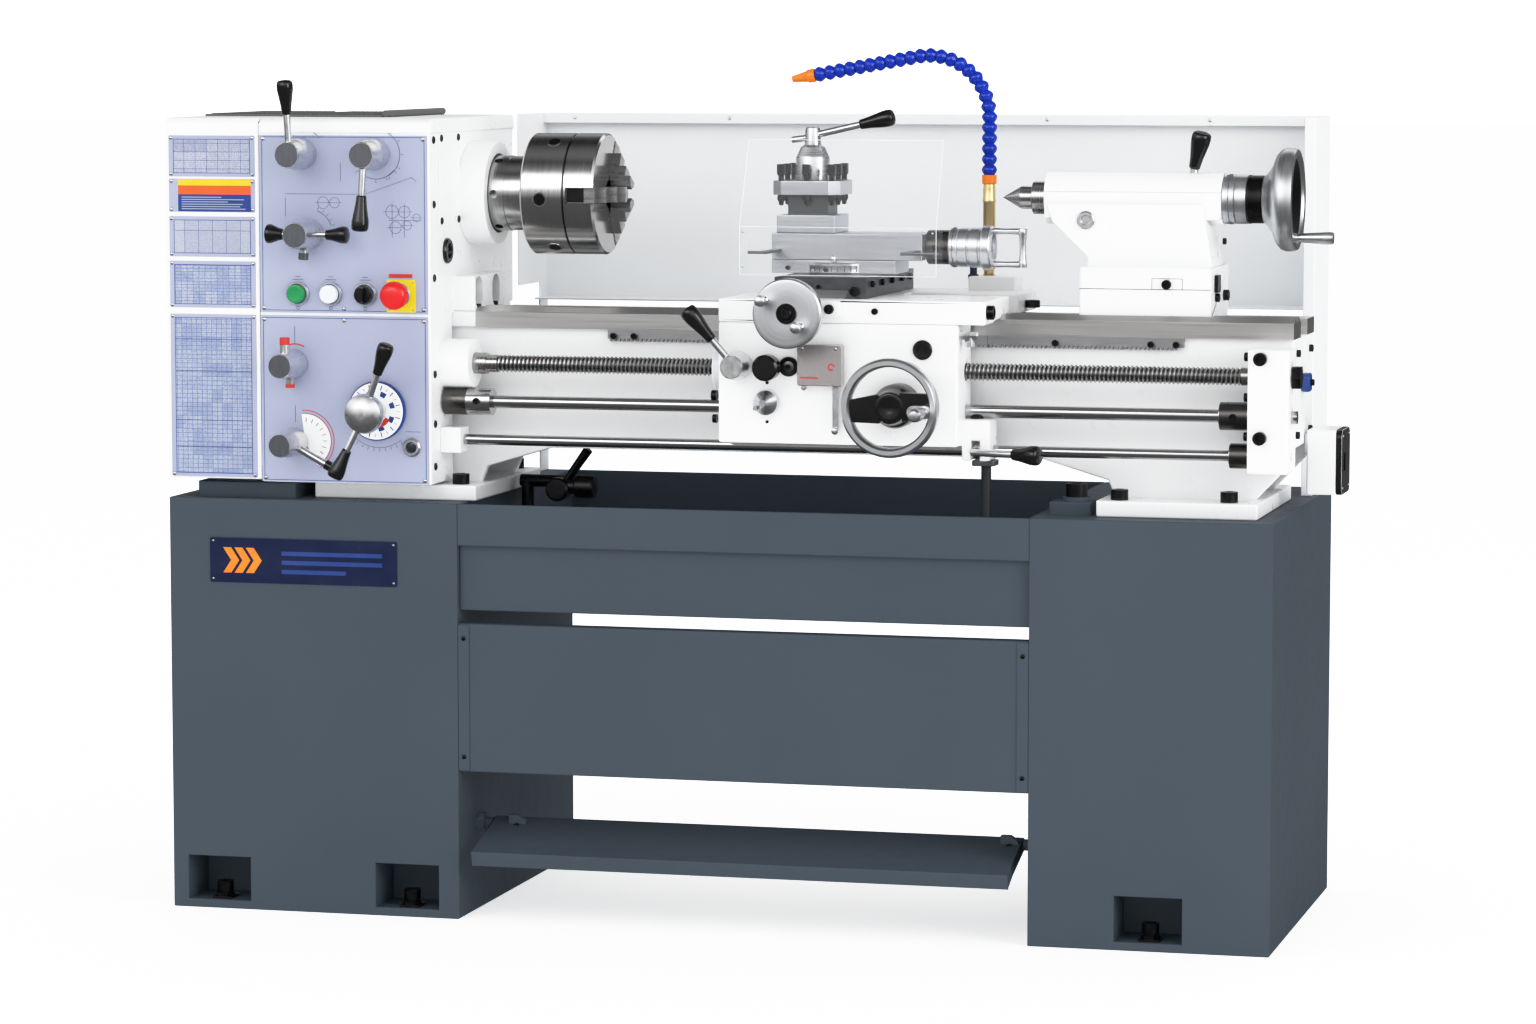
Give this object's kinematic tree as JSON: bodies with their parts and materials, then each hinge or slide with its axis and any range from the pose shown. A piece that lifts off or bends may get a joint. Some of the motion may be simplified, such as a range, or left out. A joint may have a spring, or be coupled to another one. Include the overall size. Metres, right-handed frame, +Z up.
{
  "type": "metal lathe",
  "caption": "Floor-standing metal-turning lathe: geared headstock with chuck, flat bed, carriage with compound slide and coolant hose, tailstock, two cabinets and a chip tray.",
  "frame": {"origin": "on the floor, at the centre of the rectangle of the four outer anchor holes", "axes": "+X along the bed from the headstock to the tailstock, +Y from the operator to the back, +Z up"},
  "size_m": [1.645, 0.681, 1.2255],
  "materials": {
    "stand_paint": "semi-gloss dark grey enamel on sheet steel",
    "white_paint": "smooth white machine enamel on cast iron and sheet",
    "black_steel": "black oxide steel",
    "bright_steel": "ground and turned bare steel",
    "gear_steel": "machined steel",
    "satin_chrome": "satin chrome and turned alloy",
    "panel_alu": "pale grey-violet printed alloy sheet",
    "motor_iron": "painted cast iron",
    "dark_iron": "dark machined cast iron",
    "belt_rubber": "matt rubber",
    "green_plastic": "gloss",
    "white_plastic": "gloss",
    "red_plastic": "gloss",
    "black_plastic": "gloss",
    "blue_plastic": "gloss",
    "clear_sheet": "clear polished sheet"
  },
  "bodies": {
    "stand": {"left_cabinet": "stand_paint", "right_cabinet": "stand_paint", "chip_tray": "stand_paint", "socket_bolts": "black_steel", "bed": "white_paint", "rack": "bright_steel", "headstock": "white_paint", "panel_plates": "panel_alu", "splash_guard": "white_paint", "bearing_caps": "white_paint", "end_bracket": "white_paint", "motor": "motor_iron", "drive_belts": "belt_rubber", "switch_box": "white_paint", "coolant_valve": "black_steel"},
    "brake_treadle": {"brake_treadle": "stand_paint"},
    "end_cover": {"end_cover": "white_paint"},
    "spindle": {"spindle": "bright_steel", "chuck_body": "bright_steel"},
    "chuck_jaw_1": {"chuck_jaw_1": "bright_steel"},
    "chuck_jaw_2": {"chuck_jaw_2": "bright_steel"},
    "chuck_jaw_3": {"chuck_jaw_3": "bright_steel"},
    "stud_gear": {"stud_gear": "gear_steel"},
    "idler_gear": {"idler_gear": "gear_steel"},
    "screw_gear": {"screw_gear": "gear_steel"},
    "input_pulley": {"input_pulley": "gear_steel"},
    "motor_pulley": {"motor_pulley": "gear_steel"},
    "leadscrew": {"leadscrew": "bright_steel"},
    "feed_rod": {"feed_rod": "bright_steel"},
    "control_rod": {"control_rod": "bright_steel"},
    "speed_lever_left": {"speed_lever_left": "satin_chrome"},
    "speed_lever_right": {"speed_lever_right": "satin_chrome"},
    "range_lever": {"range_lever": "satin_chrome"},
    "feed_lever": {"feed_lever": "satin_chrome"},
    "thread_lever": {"thread_lever": "satin_chrome"},
    "gearbox_lever": {"gearbox_lever": "satin_chrome"},
    "start_button": {"start_button": "green_plastic"},
    "jog_button": {"jog_button": "white_plastic"},
    "selector_knob": {"selector_knob": "black_plastic"},
    "stop_button": {"stop_button": "red_plastic"},
    "carriage": {"saddle": "white_paint", "apron": "white_paint", "coolant_hose": "blue_plastic"},
    "carriage_wheel": {"carriage_wheel": "satin_chrome"},
    "halfnut_lever": {"halfnut_lever": "satin_chrome"},
    "feed_knob": {"feed_knob": "black_plastic"},
    "axis_knob": {"axis_knob": "satin_chrome"},
    "control_lever": {"control_lever": "satin_chrome"},
    "cross_slide": {"cross_slide": "dark_iron"},
    "cross_wheel": {"cross_wheel": "satin_chrome"},
    "swivel_base": {"swivel_base": "bright_steel"},
    "top_slide": {"top_slide": "bright_steel", "chip_shield": "clear_sheet"},
    "compound_wheel": {"compound_wheel": "satin_chrome"},
    "tool_post": {"tool_post": "bright_steel"},
    "tool_lever": {"tool_lever": "satin_chrome"},
    "tailstock": {"tailstock": "white_paint"},
    "quill": {"quill": "bright_steel"},
    "tailstock_wheel": {"tailstock_wheel": "satin_chrome"},
    "quill_lock": {"quill_lock": "black_plastic"}
  },
  "joints": [
    {"name": "cover_hinge", "type": "hinge", "parent": "stand", "child": "end_cover", "pos_m": [-0.6035, 0.114, 0.9], "axis": [0, 0, -1], "range_deg": [0, 100]},
    {"name": "treadle_pivot", "type": "hinge", "parent": "stand", "child": "brake_treadle", "pos_m": [0, -0.188, 0.125], "axis": [1, 0, 0], "range_deg": [0, 8]},
    {"name": "spindle_turn", "type": "hinge", "parent": "stand", "child": "spindle", "pos_m": [-0.5, -0.085, 1.019], "axis": [1, 0, 0], "continuous": true},
    {"name": "jaw_1_slide", "type": "slide", "parent": "spindle", "child": "chuck_jaw_1", "axis": [0, -1, 0], "range_m": [-0.006, 0.02]},
    {"name": "jaw_2_slide", "type": "slide", "parent": "spindle", "child": "chuck_jaw_2", "axis": [0, 0.5, 0.866], "range_m": [-0.006, 0.02]},
    {"name": "jaw_3_slide", "type": "slide", "parent": "spindle", "child": "chuck_jaw_3", "axis": [0, 0.5, -0.866], "range_m": [-0.006, 0.02]},
    {"name": "stud_turn", "type": "hinge", "parent": "stand", "child": "stud_gear", "pos_m": [-0.6015, -0.155, 0.935], "axis": [1, 0, 0], "continuous": true},
    {"name": "idler_turn", "type": "hinge", "parent": "stand", "child": "idler_gear", "pos_m": [-0.6015, -0.16235, 0.82525], "axis": [1, 0, 0], "continuous": true},
    {"name": "screw_gear_turn", "type": "hinge", "parent": "stand", "child": "screw_gear", "pos_m": [-0.6015, -0.22, 0.72], "axis": [1, 0, 0], "continuous": true},
    {"name": "input_pulley_turn", "type": "hinge", "parent": "stand", "child": "input_pulley", "pos_m": [-0.6015, 0.03, 0.944], "axis": [1, 0, 0], "continuous": true},
    {"name": "motor_pulley_turn", "type": "hinge", "parent": "stand", "child": "motor_pulley", "pos_m": [-0.6015, 0.03, 0.41], "axis": [1, 0, 0], "continuous": true},
    {"name": "leadscrew_turn", "type": "hinge", "parent": "stand", "child": "leadscrew", "pos_m": [0, -0.22, 0.784], "axis": [1, 0, 0], "continuous": true},
    {"name": "feed_rod_turn", "type": "hinge", "parent": "stand", "child": "feed_rod", "pos_m": [0, -0.22, 0.73], "axis": [1, 0, 0], "continuous": true},
    {"name": "control_rod_turn", "type": "hinge", "parent": "stand", "child": "control_rod", "pos_m": [0, -0.22, 0.676], "axis": [1, 0, 0], "range_deg": [-14, 14]},
    {"name": "speed_lever_left_turn", "type": "hinge", "parent": "stand", "child": "speed_lever_left", "pos_m": [-0.5365, -0.282, 1.078], "axis": [0, -1, 0], "range_deg": [-40, 40]},
    {"name": "speed_lever_right_turn", "type": "hinge", "parent": "stand", "child": "speed_lever_right", "pos_m": [-0.4275, -0.282, 1.078], "axis": [0, -1, 0], "range_deg": [-40, 40]},
    {"name": "range_lever_turn", "type": "hinge", "parent": "stand", "child": "range_lever", "pos_m": [-0.5265, -0.282, 0.966], "axis": [0, -1, 0], "range_deg": [-25, 25]},
    {"name": "feed_lever_turn", "type": "hinge", "parent": "stand", "child": "feed_lever", "pos_m": [-0.5505, -0.282, 0.783], "axis": [0, -1, 0], "range_deg": [-35, 35]},
    {"name": "thread_lever_turn", "type": "hinge", "parent": "stand", "child": "thread_lever", "pos_m": [-0.5505, -0.282, 0.672], "axis": [0, -1, 0], "range_deg": [-15, 40]},
    {"name": "gearbox_lever_turn", "type": "hinge", "parent": "stand", "child": "gearbox_lever", "pos_m": [-0.4265, -0.282, 0.719], "axis": [0, -1, 0], "continuous": true},
    {"name": "start_button_press", "type": "slide", "parent": "stand", "child": "start_button", "axis": [0, 1, 0], "range_m": [0, 0.004], "stiffness_N_per_m": 400},
    {"name": "jog_button_press", "type": "slide", "parent": "stand", "child": "jog_button", "axis": [0, 1, 0], "range_m": [0, 0.004], "stiffness_N_per_m": 400},
    {"name": "stop_button_press", "type": "slide", "parent": "stand", "child": "stop_button", "axis": [0, 1, 0], "range_m": [0, 0.005], "stiffness_N_per_m": 400},
    {"name": "selector_turn", "type": "hinge", "parent": "stand", "child": "selector_knob", "pos_m": [-0.4445, -0.282, 0.882], "axis": [0, -1, 0], "range_deg": [-45, 45]},
    {"name": "carriage_slide", "type": "slide", "parent": "stand", "child": "carriage", "axis": [1, 0, 0], "range_m": [-0.17, 0.04]},
    {"name": "carriage_wheel_turn", "type": "hinge", "parent": "carriage", "child": "carriage_wheel", "pos_m": [0.323, -0.275, 0.741], "axis": [0, 1, 0], "range_deg": [-3060, 720]},
    {"name": "cross_slide_move", "type": "slide", "parent": "carriage", "child": "cross_slide", "axis": [0, 1, 0], "range_m": [-0.03, 0.08]},
    {"name": "cross_wheel_turn", "type": "hinge", "parent": "carriage", "child": "cross_wheel", "pos_m": [0.1795, -0.288, 0.867], "axis": [0, 1, 0], "range_deg": [-2700, 7200]},
    {"name": "swivel_turn", "type": "hinge", "parent": "cross_slide", "child": "swivel_base", "pos_m": [0.1965, -0.1, 0.912], "axis": [0, 0, -1], "range_deg": [-25, 25]},
    {"name": "top_slide_move", "type": "slide", "parent": "swivel_base", "child": "top_slide", "axis": [-1, 0, 0], "range_m": [-0.03, 0.035]},
    {"name": "compound_wheel_turn", "type": "hinge", "parent": "top_slide", "child": "compound_wheel", "pos_m": [0.3225, -0.095, 0.949], "axis": [-1, 0, 0], "range_deg": [-3600, 4200]},
    {"name": "tool_post_turn", "type": "hinge", "parent": "top_slide", "child": "tool_post", "pos_m": [0.1555, -0.095, 0.968], "axis": [0, 0, 1], "continuous": true},
    {"name": "tool_lever_turn", "type": "hinge", "parent": "top_slide", "child": "tool_lever", "pos_m": [0.1555, -0.095, 1.041], "axis": [0, 0, 1], "range_deg": [-60, 60]},
    {"name": "halfnut_lever_turn", "type": "hinge", "parent": "carriage", "child": "halfnut_lever", "pos_m": [0.096, -0.275, 0.791], "axis": [0, -1, 0], "range_deg": [0, 40]},
    {"name": "feed_knob_turn", "type": "hinge", "parent": "carriage", "child": "feed_knob", "pos_m": [0.14, -0.275, 0.79], "axis": [0, -1, 0], "range_deg": [-45, 45]},
    {"name": "axis_knob_turn", "type": "hinge", "parent": "carriage", "child": "axis_knob", "pos_m": [0.136, -0.275, 0.741], "axis": [0, -1, 0], "range_deg": [-60, 60]},
    {"name": "control_lever_turn", "type": "hinge", "parent": "carriage", "child": "control_lever", "pos_m": [0.422, -0.22, 0.676], "axis": [1, 0, 0], "range_deg": [-14, 14]},
    {"name": "tailstock_slide", "type": "slide", "parent": "stand", "child": "tailstock", "axis": [1, 0, 0], "range_m": [-0.03, 0.06]},
    {"name": "quill_slide", "type": "slide", "parent": "tailstock", "child": "quill", "axis": [-1, 0, 0], "range_m": [-0.015, 0.08]},
    {"name": "tailstock_wheel_turn", "type": "hinge", "parent": "tailstock", "child": "tailstock_wheel", "pos_m": [0.738, -0.085, 1.019], "axis": [-1, 0, 0], "range_deg": [-1080, 5760]},
    {"name": "quill_lock_turn", "type": "hinge", "parent": "tailstock", "child": "quill_lock", "pos_m": [0.695, -0.085, 1.044], "axis": [0, 0, 1], "range_deg": [-40, 40]}
  ],
  "couplings": [
    {"joint": "jaw_2_slide", "follows": "jaw_1_slide", "ratio": 1},
    {"joint": "jaw_3_slide", "follows": "jaw_1_slide", "ratio": 1},
    {"joint": "stud_turn", "follows": "spindle_turn", "ratio": -1},
    {"joint": "idler_turn", "follows": "spindle_turn", "ratio": 0.375},
    {"joint": "screw_gear_turn", "follows": "spindle_turn", "ratio": -0.75},
    {"joint": "motor_pulley_turn", "follows": "input_pulley_turn", "ratio": 1.7429},
    {"joint": "carriage_slide", "follows": "carriage_wheel_turn", "m_per_rad": 0.00318},
    {"joint": "cross_slide_move", "follows": "cross_wheel_turn", "m_per_rad": 0.0006366},
    {"joint": "top_slide_move", "follows": "compound_wheel_turn", "m_per_rad": 0.000477},
    {"joint": "control_lever_turn", "follows": "control_rod_turn", "ratio": 1},
    {"joint": "quill_slide", "follows": "tailstock_wheel_turn", "m_per_rad": 0.000795}
  ]
}
